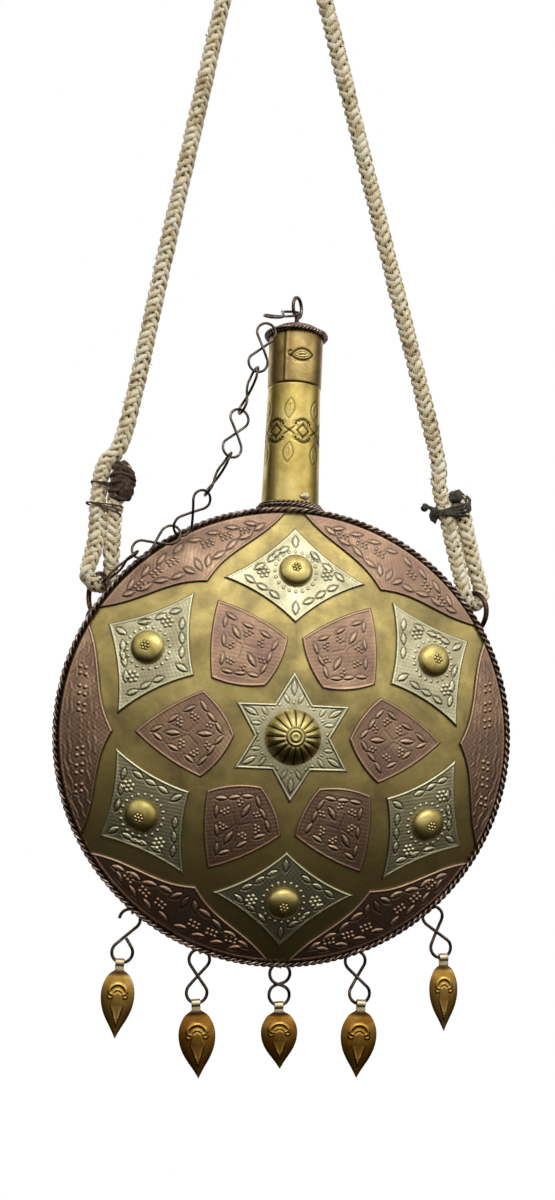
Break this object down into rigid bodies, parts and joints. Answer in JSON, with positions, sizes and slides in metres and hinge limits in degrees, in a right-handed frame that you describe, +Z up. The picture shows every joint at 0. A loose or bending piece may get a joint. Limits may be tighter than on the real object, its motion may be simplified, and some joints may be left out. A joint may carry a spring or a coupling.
{
  "type": "hanging flask",
  "caption": "Round lens-shaped metal flask with a tall capped neck, applied plaques, a cap retaining chain, drop pendants and a braided carrying rope.",
  "frame": {"origin": "underside of the rope's bight, where a peg or a hand holds it", "axes": "+Z up, the flask's front faces -Y, +X is to the right seen from the front"},
  "size_m": [0.2798, 0.1113, 0.732],
  "materials": {
    "pale_brass": "hammered and chased, worn satin",
    "neck_brass": "turned and polished",
    "cap_brass": "worn, brown patina",
    "copper": "chased copper sheet, worn satin",
    "nickel_silver": "chased nickel silver sheet, satin",
    "dark_wire": "twisted wire, dark patina",
    "iron": "drawn iron wire, dark",
    "hook_copper": "drawn copper wire",
    "amber_brass": "pressed and lacquered",
    "cotton": "braided cotton, matt",
    "cloth": "dark wound cloth"
  },
  "bodies": {
    "strap": {"carrying_rope": "cotton", "left_tie": "cloth", "right_tie": "cloth"},
    "flask": {"front_shell": "pale_brass", "side_band": "pale_brass", "back_shell": "pale_brass", "rim_wire": "dark_wire", "neck_tube": "neck_brass", "neck_collar": "dark_wire", "star_plaque": "nickel_silver", "centre_boss": "pale_brass", "kite_plaque_1": "nickel_silver", "kite_plaque_2": "nickel_silver", "kite_plaque_3": "nickel_silver", "kite_plaque_4": "nickel_silver", "kite_plaque_5": "nickel_silver", "kite_plaque_6": "nickel_silver", "kite_boss_1": "pale_brass", "kite_boss_2": "pale_brass", "kite_boss_3": "pale_brass", "kite_boss_4": "pale_brass", "kite_boss_5": "pale_brass", "kite_boss_6": "pale_brass", "petal_plaque_1": "copper", "petal_plaque_2": "copper", "petal_plaque_3": "copper", "petal_plaque_4": "copper", "petal_plaque_5": "copper", "petal_plaque_6": "copper", "edge_plaque_1": "copper", "edge_plaque_2": "copper", "edge_plaque_3": "copper", "edge_plaque_4": "copper", "edge_plaque_5": "copper", "edge_plaque_6": "copper", "left_lug": "dark_wire", "right_lug": "dark_wire", "left_ring": "hook_copper", "right_ring": "hook_copper"},
    "cap": {"cap": "cap_brass", "cap_eye": "cap_brass"},
    "chain_link_1": {"chain_link_1": "iron"},
    "chain_link_8": {"chain_link_8": "iron"},
    "chain_link_7": {"chain_link_7": "iron"},
    "chain_link_6": {"chain_link_6": "iron"},
    "chain_link_5": {"chain_link_5": "iron"},
    "chain_link_4": {"chain_link_4": "iron"},
    "chain_link_3": {"chain_link_3": "iron"},
    "chain_link_2": {"chain_link_2": "iron"},
    "pendant_hook_1": {"pendant_hook_1": "hook_copper"},
    "pendant_drop_1": {"pendant_drop_1": "amber_brass"},
    "pendant_hook_2": {"pendant_hook_2": "hook_copper"},
    "pendant_drop_2": {"pendant_drop_2": "amber_brass"},
    "pendant_hook_3": {"pendant_hook_3": "hook_copper"},
    "pendant_drop_3": {"pendant_drop_3": "amber_brass"},
    "pendant_hook_4": {"pendant_hook_4": "hook_copper"},
    "pendant_drop_4": {"pendant_drop_4": "amber_brass"},
    "pendant_hook_5": {"pendant_hook_5": "hook_copper"},
    "pendant_drop_5": {"pendant_drop_5": "amber_brass"}
  },
  "joints": [
    {"name": "flask_swing", "type": "hinge", "parent": "strap", "child": "flask", "pos_m": [0.00964, 0, -0.41617], "axis": [0.9993, 0, -0.0384], "range_deg": [-14, 4]},
    {"name": "cap_lift", "type": "slide", "parent": "flask", "child": "cap", "axis": [0.0384, 0, 0.9993], "range_m": [0, 0.04]},
    {"name": "chain_joint_1", "type": "hinge", "parent": "cap", "child": "chain_link_1", "pos_m": [0.01327, 0.00407, -0.24663], "axis": [-0.7398, 0.6728, 0], "range_deg": [0, 12]},
    {"name": "chain_joint_8", "type": "hinge", "parent": "flask", "child": "chain_link_8", "pos_m": [-0.10207, -0.00846, -0.41665], "axis": [0, -1, 0], "range_deg": [0, 4]},
    {"name": "chain_joint_7", "type": "hinge", "parent": "chain_link_8", "child": "chain_link_7", "pos_m": [-0.08361, -0.02234, -0.40126], "axis": [0, -1, 0], "range_deg": [0, 4]},
    {"name": "chain_joint_6", "type": "hinge", "parent": "chain_link_7", "child": "chain_link_6", "pos_m": [-0.05859, -0.0243, -0.38863], "axis": [0, -1, 0], "range_deg": [0, 5]},
    {"name": "chain_joint_5", "type": "hinge", "parent": "chain_link_6", "child": "chain_link_5", "pos_m": [-0.04222, -0.02601, -0.36585], "axis": [0, -1, 0], "range_deg": [0, 6]},
    {"name": "chain_joint_4", "type": "hinge", "parent": "chain_link_5", "child": "chain_link_4", "pos_m": [-0.02807, -0.02206, -0.34154], "axis": [0, -1, 0], "range_deg": [0, 6]},
    {"name": "chain_joint_3", "type": "hinge", "parent": "chain_link_4", "child": "chain_link_3", "pos_m": [-0.02119, -0.01762, -0.31435], "axis": [0, -1, 0], "range_deg": [0, 6]},
    {"name": "chain_joint_2", "type": "hinge", "parent": "chain_link_3", "child": "chain_link_2", "pos_m": [-0.01191, -0.01465, -0.28768], "axis": [0, -1, 0], "range_deg": [0, 8]},
    {"name": "pendant_hook_swing_1", "type": "hinge", "parent": "flask", "child": "pendant_hook_1", "pos_m": [-0.08662, -0.007, -0.61498], "axis": [1, 0, 0], "range_deg": [-40, 40]},
    {"name": "pendant_drop_swing_1", "type": "hinge", "parent": "pendant_hook_1", "child": "pendant_drop_1", "pos_m": [-0.094, -0.007, -0.64694], "axis": [1, 0, 0], "range_deg": [-40, 40]},
    {"name": "pendant_hook_swing_2", "type": "hinge", "parent": "flask", "child": "pendant_hook_2", "pos_m": [-0.04564, -0.007, -0.6399], "axis": [1, 0, 0], "range_deg": [-40, 40]},
    {"name": "pendant_drop_swing_2", "type": "hinge", "parent": "pendant_hook_2", "child": "pendant_drop_2", "pos_m": [-0.04827, -0.007, -0.67259], "axis": [1, 0, 0], "range_deg": [-40, 40]},
    {"name": "pendant_hook_swing_3", "type": "hinge", "parent": "flask", "child": "pendant_hook_3", "pos_m": [0.0033, -0.007, -0.64967], "axis": [1, 0, 0], "range_deg": [-40, 40]},
    {"name": "pendant_drop_swing_3", "type": "hinge", "parent": "pendant_hook_3", "child": "pendant_drop_3", "pos_m": [0.0024, -0.007, -0.67526], "axis": [1, 0, 0], "range_deg": [-40, 40]},
    {"name": "pendant_hook_swing_4", "type": "hinge", "parent": "flask", "child": "pendant_hook_4", "pos_m": [0.04907, -0.007, -0.64296], "axis": [1, 0, 0], "range_deg": [-40, 40]},
    {"name": "pendant_drop_swing_4", "type": "hinge", "parent": "pendant_hook_4", "child": "pendant_drop_4", "pos_m": [0.05335, -0.007, -0.67547], "axis": [1, 0, 0], "range_deg": [-40, 40]},
    {"name": "pendant_hook_swing_5", "type": "hinge", "parent": "flask", "child": "pendant_hook_5", "pos_m": [0.09695, -0.007, -0.61642], "axis": [1, 0, 0], "range_deg": [-40, 40]},
    {"name": "pendant_drop_swing_5", "type": "hinge", "parent": "pendant_hook_5", "child": "pendant_drop_5", "pos_m": [0.10543, -0.007, -0.6481], "axis": [1, 0, 0], "range_deg": [-40, 40]}
  ]
}
